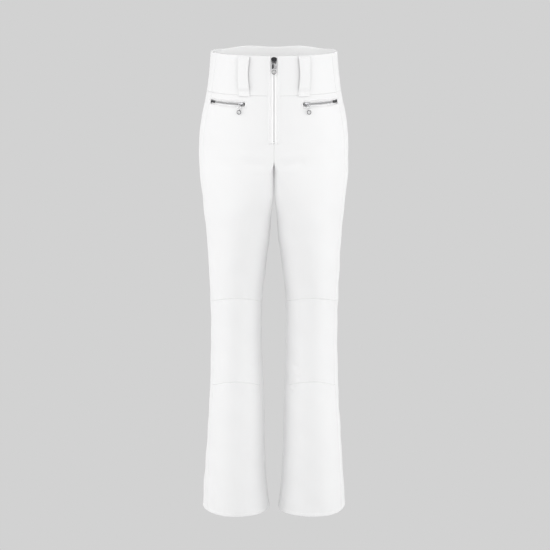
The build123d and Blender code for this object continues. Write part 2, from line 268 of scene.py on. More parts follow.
def run(p, axis):
    """Distance along the rows (axis 1) or the columns (axis 0) of a grid of points."""
    steps = np.cumsum(np.linalg.norm(np.diff(p, axis=axis), axis=-1), axis)
    return np.insert(steps, 0, 0.0, axis)


class Shell:
    """Collects grids of points into one closed cloth mesh with an outer and an inner face."""

    def __init__(self, name, thickness=CLOTH):
        self.name, self.thickness = name, thickness
        self.verts, self.faces, self.uvs = [], [], []
        self.count = 0

    def skin(self, p, n, edges="", near=None, keep=None, side=1):
        """p and n are grids of points and normals whose rows run down. edges names the free
        borders: l, r, t and b. near gives the distance to a further free border."""
        u, v = run(p, 1), run(p, 0)
        roll = self.thickness / 2
        far = np.full(u.shape, FAR) if near is None else near(u, v)
        for edge, reach in (("l", u), ("r", u[:, -1:] - u), ("t", v), ("b", v[-1:] - v)):
            if edge in edges:
                far = np.minimum(far, reach)
        inside = np.clip(roll - far, 0, roll)
        sunk = roll - np.sqrt(roll * roll - inside * inside)
        outer = p - n * sunk[..., None]
        inner = p - n * (self.thickness - sunk)[..., None]
        uv = np.stack([u, p[..., 2] + 0.37 * len(self.uvs)], -1)
        self.add(outer * (side, 1, 1), inner * (side, 1, 1), uv, keep, side)

    def grid(self, phi, z, side, lift=0.0, **options):
        p, n = laid(phi, z, side, lift)
        self.skin(p, n, side=side, **options)

    def add(self, outer, inner, uv, keep, side):
        rows, cols = outer.shape[:2]
        half = rows * cols
        index = self.count + np.arange(half).reshape(rows, cols)
        self.verts += [outer.reshape(-1, 3), inner.reshape(-1, 3)]
        self.uvs += [uv.reshape(-1, 2)] * 2
        self.count += 2 * half
        if keep is None:
            keep = np.ones((rows - 1, cols - 1), bool)
        a, b, c, d = index[:-1, :-1], index[:-1, 1:], index[1:, 1:], index[1:, :-1]
        quads = [np.stack([a, d, c, b], -1)[keep], np.stack([a, b, c, d], -1)[keep] + half]
        padded = np.pad(keep, 1)
        for rim, e, f in ((padded[:-2, 1:-1], a, b), (padded[1:-1, 2:], b, c),
                          (padded[2:, 1:-1], c, d), (padded[1:-1, :-2], d, a)):
            wall = np.stack([e, f, f + half, e + half], -1)
            inner_rim = ~keep & rim
            quads.append(wall[inner_rim])
        faces = np.concatenate(quads)
        self.faces += (faces[:, ::-1] if side < 0 else faces).tolist()

    def build(self, material):
        mesh = new_mesh(self)
        layer = mesh.uv_layers.new(name="cloth")
        index = np.empty(len(mesh.loops), int)
        mesh.loops.foreach_get("vertex_index", index)
        layer.data.foreach_set("uv", np.concatenate(self.uvs)[index].ravel())
        weld = bmesh.new()
        weld.from_mesh(mesh)
        bmesh.ops.remove_doubles(weld, verts=weld.verts, dist=WELD)
        bmesh.ops.dissolve_degenerate(weld, edges=weld.edges, dist=WELD / 20)
        weld.to_mesh(mesh)
        weld.free()
        return put_in_scene(mesh, material)


def new_mesh(maker):
    mesh = bpy.data.meshes.new(maker.name)
    mesh.from_pydata(np.concatenate(maker.verts).tolist(), [], maker.faces)
    return mesh


def put_in_scene(mesh, *names):
    """Makes a smooth object of a mesh, with the named materials."""
    mesh.polygons.foreach_set("use_smooth", [True] * len(mesh.polygons))
    for name in names:
        mesh.materials.append(MATERIALS[name])
    piece = bpy.data.objects.new(mesh.name, mesh)
    bpy.context.scene.collection.objects.link(piece)
    return piece


def fit(piece, slot, body, *nodes):
    """Hides the CAD nodes that a piece stands for and hangs the piece on the body it rides on. slot is not
    used.
    """
    if nodes:
        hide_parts(*nodes)
    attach(piece, body)


def spread(left, right, shares):
    """Azimuths between two borders, one row for each height."""
    return left[:, None] + (right - left)[:, None] * shares[None, :]


# ---- threads ----
class Thread:
    """Rows of single stitches, each a small rounded bar half sunk in the cloth."""
    PITCH, LENGTH, RADIUS = 0.0032, 0.0023, 0.00030

    def __init__(self, name):
        self.name, self.verts, self.faces, self.count = name, [], [], 0

    def row(self, p, n, side=1):
        reach = run(p[None], 1)[0]
        count = int(reach[-1] / self.PITCH)
        if count < 1:
            return
        at = (np.arange(count) + 0.5) * reach[-1] / count

        def sample(values, where):
            return np.stack([np.interp(where, reach, values[:, k]) for k in range(3)], -1)
        centre, up = sample(p, at), sample(n, at)
        way = sample(p, at + 1e-3) - sample(p, at - 1e-3)
        way /= np.linalg.norm(way, axis=1)[:, None]
        across = np.cross(up, way)
        rings = []
        for along, width, lift in ((-0.5, 0.3, -0.9), (-0.3, 1.0, 0.1), (0.3, 1.0, 0.1), (0.5, 0.3, -0.9)):
            out = self.RADIUS * width
            for turn in 2 * pi * np.arange(5) / 5:
                rings.append(centre + way * self.LENGTH * along + across * out * cos(turn)
                             + up * (out * sin(turn) + self.RADIUS * lift))
        self.verts.append((np.stack(rings, 1) * (side, 1, 1)).reshape(-1, 3))
        pattern = [(r + k, r + (k + 1) % 5, r + 5 + (k + 1) % 5, r + 5 + k)
                   for r in (0, 5, 10) for k in range(5)]
        caps = [(4, 3, 2, 1, 0), (15, 16, 17, 18, 19)]
        for s in range(count):
            base = self.count + 20 * s
            self.faces += [tuple(base + v for v in f[::-side]) for f in pattern + caps]
        self.count += 20 * count

    def along(self, phi, z, side, lift=0.0):
        """A row along a line on the cloth, given as azimuths and heights."""
        p, n = laid(phi, z, side, lift)
        self.row(p, n, side)

    def build(self):
        return put_in_scene(new_mesh(self), "thread")


# ---- materials ----
def node(mat, kind, **inputs):
    made = mat.node_tree.nodes.new(kind)
    for name, value in inputs.items():
        made.inputs[name.replace("_", " ")].default_value = value
    return made


def new_material(name):
    mat = bpy.data.materials.new(name)
    mat.use_nodes = True
    return mat, mat.node_tree.nodes["Principled BSDF"], mat.node_tree.links


def tinted(mat, shader, links, colour, spread_share, vector, scale):
    """Base colour with a soft change of tone."""
    tone = node(mat, "ShaderNodeTexNoise", Scale=scale, Detail=3.0)
    links.new(vector, tone.inputs["Vector"])
    mix = node(mat, "ShaderNodeMix")
    mix.data_type = "RGBA"
    mix.inputs["A"].default_value = (*[c * (1 - spread_share) for c in colour], 1)
    mix.inputs["B"].default_value = (*colour, 1)
    links.new(tone.outputs["Fac"], mix.inputs["Factor"])
    links.new(mix.outputs["Result"], shader.inputs["Base Color"])


def rough_range(mat, shader, links, source, low, high):
    rough = node(mat, "ShaderNodeMapRange", To_Min=low, To_Max=high)
    links.new(source, rough.inputs["Value"])
    links.new(rough.outputs["Result"], shader.inputs["Roughness"])


def bumped(mat, shader, links, source, strength, distance):
    dent = node(mat, "ShaderNodeBump", Strength=strength, Distance=distance)
    links.new(source, dent.inputs["Height"])
    links.new(dent.outputs["Normal"], shader.inputs["Normal"])


def woven(name, colour, pitch, roughness, strength, sheen, direction="DIAGONAL"):
    """Woven cloth: a fine twill with uneven yarns, a soft change of tone and a little sheen."""
    mat, shader, links = new_material(name)
    shader.inputs["Sheen Weight"].default_value = sheen
    shader.inputs["Sheen Roughness"].default_value = 0.5
    shader.inputs["Specular IOR Level"].default_value = 0.2
    place = node(mat, "ShaderNodeTexCoord")
    uv = node(mat, "ShaderNodeUVMap")
    uv.uv_map = "cloth"
    twill = node(mat, "ShaderNodeTexWave", Scale=0.1 / pitch, Distortion=0.5, Detail=1.0)
    twill.bands_direction = direction
    yarn = node(mat, "ShaderNodeTexNoise", Scale=700.0, Detail=2.0)
    links.new(uv.outputs["UV"], twill.inputs["Vector"])
    links.new(uv.outputs["UV"], yarn.inputs["Vector"])
    tinted(mat, shader, links, colour, 0.02, place.outputs["Object"], 11.0)
    rough_range(mat, shader, links, yarn.outputs["Fac"], roughness - 0.1, roughness + 0.1)
    total = node(mat, "ShaderNodeMath")
    links.new(twill.outputs["Fac"], total.inputs[0])
    links.new(yarn.outputs["Fac"], total.inputs[1])
    bumped(mat, shader, links, total.outputs["Value"], strength, 0.00012)
    return mat


def moulded(name, colour, metallic, roughness, grain, strength, spread_share=0.08):
    """Metal or plastic with fine grain and slightly uneven gloss."""
    mat, shader, links = new_material(name)
    shader.inputs["Metallic"].default_value = metallic
    place = node(mat, "ShaderNodeTexCoord")
    noise = node(mat, "ShaderNodeTexNoise", Scale=grain, Detail=4.0)
    links.new(place.outputs["Object"], noise.inputs["Vector"])
    tinted(mat, shader, links, colour, spread_share, place.outputs["Object"], 160.0)
    rough_range(mat, shader, links, noise.outputs["Fac"], roughness * 0.7, roughness * 1.4)
    bumped(mat, shader, links, noise.outputs["Fac"], strength, 0.00005)
    return mat


MATERIALS = {
    "cloth": woven("white softshell", (0.79, 0.79, 0.792), 0.00060, 0.72, 0.35, 0.10),
    # the lining's brighter white is partly a whiter fabric and partly painted light, standing for light
    # that shines through the thin cloth
    "lining": woven("white lining", (0.97, 0.97, 0.97), 0.00040, 0.55, 0.25, 0.05),
    "tape": woven("zip tape", (0.92, 0.92, 0.92), 0.00080, 0.70, 0.50, 0.05, "X"),
    "elastic": woven("elastic", (0.80, 0.80, 0.80), 0.00090, 0.65, 0.60, 0.05, "Y"),
    "thread": moulded("thread", (0.90, 0.90, 0.90), 0.0, 0.50, 3000.0, 0.3, 0.04),
    "coil": moulded("zip coil", (0.74, 0.74, 0.745), 0.0, 0.35, 900.0, 0.1),
    "stop": moulded("black stop", (0.012, 0.012, 0.013), 0.0, 0.35, 900.0, 0.2),
    "dark": moulded("gunmetal", (0.045, 0.045, 0.050), 0.8, 0.28, 900.0, 0.2),
    "steel": moulded("brushed steel", (0.27, 0.27, 0.28), 1.0, 0.24, 1200.0, 0.2),
    "ring": moulded("dark steel", (0.12, 0.12, 0.125), 1.0, 0.28, 1200.0, 0.2),
    "chrome": moulded("chrome", (0.72, 0.72, 0.73), 1.0, 0.14, 1200.0, 0.12),
}


# ---- the big panels ----
def handed(stem, side):
    return f"{stem}_{'left' if side > 0 else 'right'}"


def upper_levels():
    """Heights from the waist seam to the crotch, with rows at the pocket opening's edges and at
    the fly's end, and shares from the crotch to the knee seam."""
    fixed = [POCKET_Z + POCKET_CUT, POCKET_Z - POCKET_CUT, FLY_END + 0.0005, FLY_END]
    even = WAIST_SEAM + (CROTCH - WAIST_SEAM) * spaced(WAIST_SEAM - CROTCH, end=False)
    even = [z for z in even if min(abs(z - f) for f in fixed) > 0.0015]
    above = np.array(sorted(even + fixed, reverse=True))
    return above, spaced(CROTCH - KNEE_TOP, start=False)


def upper_rows(phi, above, below):
    """Heights of an upper panel's points: level above the crotch, and from there bending to the
    knee seam."""
    level = np.repeat(above[:, None], phi.shape[1], 1)
    low = phi[len(above) - 1:]
    bent = CROTCH + (knee_seam(low, KNEE_TOP, KNEE_TOP_DROP) - CROTCH) * below[:, None]
    return np.concatenate([level, bent[1:]])


def inner_rows(phi, below):
    """Heights on the inner side of the thigh, from the crotch seam to the knee seam."""
    low = knee_seam(phi, KNEE_TOP, KNEE_TOP_DROP)
    return crotch_line(phi) * (1 - below[:, None]) + low * below[:, None]


def pocket_hole(phi, z):
    """Which cells of the front panel stay when the pocket opening is cut."""
    row = z[:-1, :1]
    tall = (row > POCKET_Z + POCKET_CUT - 1e-6) | (row < POCKET_Z - POCKET_CUT + 1e-6)
    at = np.argmin(np.abs(z[:, 0] - POCKET_Z))
    near = np.argmin(np.abs(phi[at] - POCKET_NEAR))
    far = np.argmin(np.abs(phi[at] - POCKET_FAR))
    col = np.arange(phi.shape[1] - 1)[None, :]
    return tall | (col < near) | (col >= far)


def upper_panel(side, front):
    """Front panel with its pocket opening, or back panel, from the waist seam to the height of
    the upper knee seam."""
    piece = Shell(handed("front_leg_panel" if front else "back_leg_panel", side))
    above, below = upper_levels()
    low = CROTCH + (KNEE_TOP - CROTCH) * below
    levels = np.concatenate([above, low[1:]])
    seam, centre = seam_phi(levels), np.full(len(levels), pi / 2)
    phi = spread(fly_phi(levels), seam, spaced(0.19)) if front else spread(seam, centre, spaced(0.26))
    z = upper_rows(phi, above, below)

    def near(u, v):
        """Below the crotch the centre edge joins the panel's inner part."""
        return np.hypot(u if front else u[:, -1:] - u, np.maximum(0, CROTCH - z))
    piece.grid(phi, z, side, edges="rtb" if front else "ltb", near=near,
               keep=pocket_hole(phi, z) if front else None)
    inseam, centre = seam_phi(low, inner=True), np.full(len(low), pi / 2)
    if front:
        phi = spread(inseam, -centre, inner_shares(0.11))
    else:
        phi = spread(centre, inseam + 2 * pi, 1 - inner_shares(0.14)[::-1])
    piece.grid(phi, inner_rows(phi, below), side, edges="ltb" if front else "rtb")
    return piece.build("cloth")


def inner_shares(length):
    """Shares from the inseam to the front or back of the thigh, closer where it turns fast."""
    even = spaced(length, end=False)
    return np.concatenate([even[:-1], 1 - (1 - even[-2]) * np.array([0.5, 0.25, 0.12, 0.05, 0.015, 0])])


def tube_panel(stem, side, front, top, low, length):
    """A panel that runs round the leg from seam to seam. top and low are each the height at the
    middle and how much lower the border runs at the sides."""
    piece = Shell(handed(stem, side))
    down = spaced(top[0] - low[0])
    levels = top[0] + (low[0] - top[0]) * down
    inseam, seam = seam_phi(levels, inner=True), seam_phi(levels)
    phi = spread(*((inseam, seam) if front else (seam, inseam + 2 * pi)), spaced(length))
    z = knee_seam(phi, *top) * (1 - down[:, None]) + knee_seam(phi, *low) * down[:, None]
    piece.grid(phi, z, side, edges="lrtb")
    return piece.build("cloth")


SEAM_OFFSET = 0.0030        # the topstitching stands this far above a knee seam
HEM_STITCH = 0.0070


def seam_rows(side):
    """Topstitching of the upper panels, and of the panels below the upper knee seam."""
    upper = Thread(handed("thigh_topstitch", side))
    lower = Thread(handed("lower_leg_topstitch", side))
    front = np.linspace(seam_phi(KNEE_TOP, inner=True) + 0.03, seam_phi(KNEE_TOP) - 0.03, 120)
    for thread, level, drop in ((upper, KNEE_TOP, KNEE_TOP_DROP), (lower, KNEE_LOW, KNEE_LOW_DROP)):
        thread.along(front, knee_seam(front, level, drop) + SEAM_OFFSET, side)
    lower.along(np.linspace(-pi, pi, 300), HEM + HEM_STITCH, side)
    return upper.build(), lower.build()


def make_legs():
    for side in (1, -1):
        top, low, hem = (KNEE_TOP, KNEE_TOP_DROP), (KNEE_LOW, KNEE_LOW_DROP), (HEM, 0.0)
        front, back = upper_panel(side, True), upper_panel(side, False)
        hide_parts(*(handed(s, side) for s in ("hip_front", "hip_crease_front", "thigh_front")))
        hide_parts(*(handed(s, side) for s in ("seat_back", "hip_crease_back", "thigh_back")))
        knee = tube_panel("knee_cloth", side, True, top, low, 0.15)
        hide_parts(handed("knee_panel", side))
        shin_front = tube_panel("lower_front_panel", side, True, low, hem, 0.17)
        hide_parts(handed("shin_front", side))
        calf = tube_panel("lower_back_panel", side, False, top, hem, 0.30)
        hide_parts(handed("knee_back", side), handed("calf_back", side))
        upper_thread, lower_thread = seam_rows(side)
        # each piece's placing is baked into its mesh
        for piece in (front, back, upper_thread):
            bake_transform(piece)
        for piece in (knee, shin_front, calf, lower_thread):
            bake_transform(piece)


# ---- hem, gaiter ----
def ring_grid(levels, count):
    """Azimuths right round a leg and heights, closed on themselves."""
    phi = np.linspace(-pi, pi, count + 1)
    return np.meshgrid(phi, levels)


def rows(piece, top, low, step=STEP):
    """Heights from top to low, closer together near the piece's two rolled edges."""
    return top + (low - top) * spaced(top - low, step=step, roll=piece.thickness / 2)


def hem_facing(side):
    """The hem's turned-up cloth inside the leg."""
    piece = Shell(handed("hem_turn_up", side), LINING)
    phi, z = ring_grid(rows(piece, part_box(handed("hem_facing", side))[1].z, HEM + 0.0006), 150)
    piece.grid(phi, z, side, lift=BEHIND, edges="tb")
    return piece.build("cloth")


GAITER_X = 0.0870           # the gaiter's middle, and its half width and half depth near its top
GAITER_HALF = (0.0600, 0.0755)


def gaiter_points(levels, side, count=220):
    """The gaiter hangs just inside the leg at its top and is gathered by elastic at its foot."""
    phi, z = ring_grid(levels, count)
    foot, top = (corner.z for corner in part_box(handed("snow_gaiter", 1)))
    p, n = laid(phi, z, side, -CLOTH - 0.0006)
    drop = np.clip((top - z) / (top - foot), 0, 1)
    leave = smooth(drop * 3.2)
    ease = smooth(drop * 1.05)
    centre = GAITER_X - 0.001 * drop
    half_x, half_y = GAITER_HALF[0] - 0.0035 * ease, GAITER_HALF[1] - 0.0100 * ease
    pleats = 0.0030 * smooth(drop * 1.4) * np.sin(34 * phi + 1.2 * np.sin(3 * phi) + 2.0 * drop)
    pleats = pleats + 0.0016 * smooth(drop * 2) * np.sin(11 * phi + 3 * drop + side)
    pleats = pleats * (1 - 0.45 * smooth((drop - 0.86) / 0.08))
    x = centre + (half_x + pleats) * np.cos(phi)
    y = (half_y + pleats) * np.sin(phi)
    hung = np.stack([x, y, z], -1)
    return p * (1 - leave[..., None]) + hung * leave[..., None]


def grid_normals(p):
    """Normals of a grid whose rows run down and whose columns run right round the leg."""
    wide = np.concatenate([p[:, -2:-1], p, p[:, 1:2]], 1)
    n = np.cross(wide[:, 2:] - wide[:, :-2], -np.gradient(p, axis=0))
    return n / np.linalg.norm(n, axis=-1)[..., None]


BAND_INSET = 0.0016
RIB, RIB_PITCH = 0.00025, 0.003


def gaiter(side):
    low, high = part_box(handed("snow_gaiter", 1))
    piece = Shell(handed("gathered_gaiter", side), GAITER_CLOTH)
    p = gaiter_points(rows(piece, high.z, low.z, 0.005), side)
    piece.skin(p, grid_normals(p), edges="tb", side=side)
    return piece.build("lining")


def gaiter_band(side):
    """Ribbed elastic sewn inside the gaiter's foot."""
    low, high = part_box(handed("gaiter_elastic", 1))
    piece = Shell(handed("ribbed_elastic", side), ELASTIC)
    p = gaiter_points(rows(piece, high.z, low.z, 0.0025), side, 440)
    p = p - grid_normals(p) * BAND_INSET
    rib = RIB * np.sin(p[..., 2] * 2 * pi / RIB_PITCH)
    p = p + grid_normals(p) * rib[..., None]
    piece.skin(p, grid_normals(p), edges="tb", side=side)
    return piece.build("elastic")


def make_hems():
    for side in (1, -1):
        for piece, node, slot in ((hem_facing(side), "hem_facing", "cloth"),
                                  (gaiter(side), "snow_gaiter", "lining"),
                                  (gaiter_band(side), "gaiter_elastic", "elastic")):
            fit(piece, slot, handed("shin", side), handed(node, side))


# ---- waistband ----
BACK_WAVE = 0.0016          # height of the waves in the back's upper edge
FACING_X = 0.0265           # half the gap between the lining's front edges


def waist_top(phi):
    """The back of the waist's edge is slightly wavy."""
    return BACK_WAVE * smooth((np.sin(phi) - 0.1) / 0.5) * (0.3 - np.cos(7.0 * (phi - pi / 2)))


def band_grid(piece, left, right, length, side, top, low, lift, edges):
    levels = rows(piece, top, low)
    down = (levels - top) / (low - top)
    phi = spread(left(levels), right(levels),
                 spaced(length, "l" in edges, "r" in edges, roll=piece.thickness / 2))
    rise = waist_top(phi) * (1 - down[:, None]) ** 2
    piece.grid(phi, levels[:, None] + rise, side, lift=lift, edges=edges)


def back_centre(z):
    return np.full(len(z), pi / 2)


def facing_edge(z):
    """Azimuth of the lining's front edge, beside the zip."""
    return -np.arccos(FACING_X / section(z)[0])


def make_waistband():
    for side in (1, -1):
        piece = Shell(handed("waistband_front_cloth", side))
        band_grid(piece, fly_phi, seam_phi, 0.14, side, 0.0, WAIST_SEAM, 0.0, "lrtb")
        fit(piece.build("cloth"), "cloth", "hips", handed("waistband_front", side))
    back = Shell("waistband_back_cloth")
    lined = Shell("waistband_lining", LINING)
    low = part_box("waistband_facing")[0].z
    for side in (1, -1):
        band_grid(back, seam_phi, back_centre, 0.23, side, 0.0, WAIST_SEAM, 0.0, "ltb")
        band_grid(lined, facing_edge, back_centre, 0.36, side, -0.0003, low, BEHIND, "ltb")
    fit(back.build("cloth"), "cloth", "hips", "waistband_back")
    fit(lined.build("lining"), "lining", "hips", "waistband_facing")


LOOP_HALF = 0.012
LOOP_CLOTH = 0.0016
LOOP_TOP, LOOP_FOOT = -0.0012, -0.0885
FRONT_LOOP_X, BACK_LOOP_X = 0.0645, 0.085
STITCH_EDGE = 0.8           # where a loop's long rows of stitches run, as a share of its half width
BAR_TACKS = (0.030, 0.050, 0.905, 0.930)


def loop_points(x, front, down, across):
    """A belt loop's outer face, and its normals: sewn flat at both ends and bowed out between."""
    z = LOOP_TOP + (LOOP_FOOT - LOOP_TOP) * down[:, None] + 0 * across[None, :]
    bow = np.sin(pi * np.clip(down / 0.9, 0, 1)) ** 1.5
    place = x + LOOP_HALF * (1 - 0.10 * bow[:, None]) * across[None, :]
    place = place + np.sign(x) * 0.0018 * bow[:, None]
    half = np.where(place < 0, -1, 1)
    phi = np.arccos(np.abs(place) / section(z)[0]) * (-1 if front else 1)
    p, n = surface(phi, z)
    mirror = np.stack([half, abs(half), abs(half)], -1)
    p, n = p * mirror, n * mirror
    stand = smooth(down / 0.10) * smooth((0.90 - down) / 0.12)
    tail = smooth((down - 0.945) / 0.055)
    crown = 0.0005 * (1 - across[None, :] ** 2) * stand[:, None]
    lift = 0.0017 + 0.0029 * stand[:, None] + crown + 0.0016 * tail[:, None]
    p = p + n * lift[..., None]
    return p, n


def belt_loop(piece, thread, x, front):
    down = spaced(LOOP_TOP - LOOP_FOOT, step=0.0022, roll=LOOP_CLOTH / 2)
    across = 2 * spaced(2 * LOOP_HALF, step=0.0018, roll=LOOP_CLOTH / 2) - 1
    if not front:
        across = across[::-1]
    p, n = loop_points(x, front, down, across)
    piece.skin(p, n, edges="lrtb")
    line = np.linspace(0.015, 0.985, 90)
    for edge in (-STITCH_EDGE, STITCH_EDGE):
        q, m = loop_points(x, front, line, np.array([edge]))
        thread.row(q[:, 0], m[:, 0])
    # two close rows across each end
    for level in BAR_TACKS:
        q, m = loop_points(x, front, np.array([level]), np.linspace(-STITCH_EDGE, STITCH_EDGE, 12))
        thread.row(q[0], m[0])


def make_belt_loops():
    piece, thread = Shell("belt_loop_strips", LOOP_CLOTH), Thread("belt_loop_stitches")
    for x in (FRONT_LOOP_X, -FRONT_LOOP_X):
        belt_loop(piece, thread, x, True)
    for x in (BACK_LOOP_X, 0.0, -BACK_LOOP_X):
        belt_loop(piece, thread, x, False)
    fit(piece.build("cloth"), "cloth", "hips", "belt_loops")
    fit(thread.build(), "cloth", "hips")


# ---- hardware: rounded solids in millimetres, in a frame of their own ----
def circle(radius, count=10):
    turn = 2 * pi * np.arange(count) / count
    return np.stack([radius * np.cos(turn), radius * np.sin(turn)], -1)


def rect(x0, x1, z0, z1):
    return [(x0, z0), (x1, z0), (x1, z1), (x0, z1)]


def symmetric(*right):
    """An outline from its right half, given upwards from the lowest point."""
    left = [(-x, z) for x, z in right[:0:-1] if x]
    return [(-right[0][0], right[0][1]), *right, *left]


def unit(vectors):
    return vectors / np.linalg.norm(vectors, axis=-1)[..., None]


def rounded(corners, radius, steps=4):
    """An outline with its corners rounded; corners are 2-D points in order."""
    corners = np.array(corners, float)
    line = []
    for k in range(len(corners)):
        here = corners[k]
        ways = corners[k - 1] - here, corners[(k + 1) % len(corners)] - here
        cut = min(radius, *(0.45 * np.linalg.norm(way) for way in ways))
        a, b = (here + unit(way) * cut for way in ways)
        for s in range(steps + 1):
            t = s / steps
            line.append((1 - t) ** 2 * a + 2 * t * (1 - t) * here + t * t * b)
    return np.array(line)


def shrink(outline, by):
    """The outline (anticlockwise) moved inwards by the given distance."""
    before = outline - np.roll(outline, 1, 0)
    after = np.roll(outline, -1, 0) - outline
    way = unit(unit(before) + unit(after))
    return outline + np.stack([-way[:, 1], way[:, 0]], -1) * by


class Solid:
    """Collects closed bodies in millimetres, and places them with a matrix."""

    def __init__(self, name, place):
        self.name = name
        self.place = np.array(place)
        self.verts, self.faces, self.marks = [], [], []
        self.count, self.mark = 0, 0

    def put(self, points):
        points = np.asarray(points, float).reshape(-1, 3) * 0.001
        self.verts.append(points @ self.place[:3, :3].T + self.place[:3, 3])
        self.count += len(points)
        return self.count - len(points)

    def join(self, faces):
        self.faces += faces
        self.marks += [self.mark] * len(faces)

    def rings(self, rings, closed=False):
        """Skins rings of points; open ends get caps."""
        rings = np.asarray(rings, float)
        count, size = rings.shape[:2]
        base = self.put(rings)
        faces = []
        for r in range(count if closed else count - 1):
            low, high = base + r * size, base + (r + 1) % count * size
            for k in range(size):
                m = (k + 1) % size
                faces.append((low + k, low + m, high + m, high + k))
        if not closed:
            faces.append(tuple(base + k for k in reversed(range(size))))
            faces.append(tuple(base + (count - 1) * size + k for k in range(size)))
        self.join(faces)

    def sweep(self, path, profile, closed=False, up=None):
        """Sweeps a profile along a path. up gives the profile's second axis at each point; without
        it the axis is carried along smoothly."""
        path = np.asarray(path, float)
        way = np.roll(path, -1, 0) - np.roll(path, 1, 0) if closed else np.gradient(path, axis=0)
        way = unit(way)
        if up is None:
            first = np.array([0.0, 1.0, 0.0]) if abs(way[0][1]) < 0.9 else np.array([1.0, 0.0, 0.0])
            up = [first]
            for w in way[1:]:
                up.append(unit(up[-1] - w * (up[-1] @ w)))
        up = np.broadcast_to(np.asarray(up, float), path.shape)
        side = unit(np.cross(up, way))
        second = np.cross(way, side)
        profile = np.asarray(profile, float)
        rings = (path[:, None] + side[:, None] * profile[None, :, :1]
                 + second[:, None] * profile[None, :, 1:])
        self.rings(rings, closed)

    def plate(self, outline, y0, y1, edge=0.3, hole=None, steps=3):
        """A plate across y with rounded edges; the outline and the hole are (x, z) points, of the
        same count."""
        turn = np.linspace(0, pi / 2, steps + 1)
        levels = [(edge * (1 - sin(t)), y0 + edge * (1 - cos(t))) for t in turn]
        levels += [(edge * (1 - sin(t)), y1 - edge * (1 - cos(t))) for t in reversed(turn)]

        def ring(line, cut, y):
            inset = shrink(line, cut)
            return np.stack([inset[:, 0], np.full(len(inset), y), inset[:, 1]], -1)
        rings = [ring(outline, cut, y) for cut, y in levels]
        if hole is None:
            self.rings(rings)
            return
        rings += [ring(hole, -cut, y) for cut, y in reversed(levels)]
        self.rings(rings, closed=True)

    def torus(self, centre, radius, wire, normal, count=40, sides=12):
        turn = 2 * pi * np.arange(count) / count
        x_way = unit(np.cross(normal, (0.3, 0.5, 0.81)))
        y_way = np.cross(normal, x_way)
        path = np.array(centre) + radius * (np.cos(turn)[:, None] * x_way + np.sin(turn)[:, None] * y_way)
        self.sweep(path, circle(wire, sides), closed=True, up=np.array(normal, float))

    def build(self, *materials):
        mesh = new_mesh(self)
        mesh.polygons.foreach_set("material_index", self.marks)
        fix = bmesh.new()
        fix.from_mesh(mesh)
        bmesh.ops.recalc_face_normals(fix, faces=fix.faces)
        fix.to_mesh(mesh)
        fix.free()
        piece = put_in_scene(mesh, *materials)
        mesh.set_sharp_from_angle(angle=radians(50))
        return piece


# ---- front zip: x across, y inwards, z up the zip ----
ZIP_TILT = -atan(20 / 190)
ZIP_PLACE = Matrix.Translation((0, -0.092, 0)) @ Matrix.Rotation(ZIP_TILT, 4, "X")
ZIP_LENGTH = 190.0
SLIDER_DROP = 8.5
FRONT_PLACE = ZIP_PLACE @ Matrix.Translation((0, 0, -SLIDER_DROP * 0.001))
PIVOT_Y, PIVOT_DROP = -1.9, 3.2
HOOK_Y = -2.9
FRONT_PULL = 17.0
RING_R, RING_WIRE = 4.2, 0.7
TAPE_GAP = 0.55
COIL_STEPS = 10             # points in one turn of a coil


def zip_line(top, low, x, y, count):
    return np.stack([np.full(count, x), np.full(count, y), np.linspace(top, low, count)], -1)


def zip_ring(profile, z, side=1, out=0.0, back=0.0):
    """A profile across the zip at height z, moved outwards and backwards."""
    return np.stack([side * (profile[:, 0] + out), profile[:, 1] + back, np.full(len(profile), z)], -1)


def fly_lip(side):
    """The folded cloth edge beside the zip: a fold at the zip, flat where it is sewn down."""
    lip = Solid(handed("fly_fold", side), ZIP_PLACE)
    profile = rounded([(6.7, 1.3), (8.2, -0.35), (10.5, -0.55), (13.2, -0.25), (13.2, 1.6), (9.0, 3.1),
                       (6.7, 3.1)], 0.9)
    levels = np.linspace(-0.4, -ZIP_LENGTH, 90)
    wander = 0.12 * np.sin(levels / 13.0 + side) + 0.06 * np.sin(levels / 4.7)
    inner = np.exp(-((profile[:, 0] - 6.7) / 2.5) ** 2)
    lip.rings([zip_ring(profile, z, side, shift * inner) for z, shift in zip(levels, wander)])
    fit(lip.build("cloth"), "cloth", "hips", handed("fly_lip", side))


def zip_tape(side):
    tape = Solid(handed("front_tape", side), ZIP_PLACE)
    profile = rounded(rect(TAPE_GAP, 12.2, 3.15, 4.1), 0.25, 2)
    tape.rings([zip_ring(profile, z, side) for z in np.linspace(-0.6, -ZIP_LENGTH - 4.0, 40)])
    fit(tape.build("tape"), "zip_tape", "hips", handed("front_zip_tape", side))


def coil_path(turns, start, end, near, far, deep, height):
    """A zip coil's helix, seen across: from near the middle to its outer side."""
    t = np.linspace(0, 2 * pi * turns, turns * COIL_STEPS + 1)
    along = start + (end - start) * t / t[-1]
    middle, half = (near + far) / 2, (far - near) / 2
    return along, middle - half * np.cos(t), deep + height * np.sin(t)


def front_coil(side):
    coil = Solid(handed("front_coil", side), ZIP_PLACE)
    top, low = -2.2, -183.2
    along, across, deep = coil_path(125, top, low, 0.62, 3.2, 4.95, 0.60)
    if side < 0:
        along = along - 0.72
    coil.sweep(np.stack([side * across, deep, along], -1), circle(0.26, 5))
    coil.sweep(zip_line(top, low, side * 2.3, 4.95, 30), circle(0.3, 6))
    fit(coil.build("coil"), "zip_coil", "hips", handed("front_zip_coil", side))


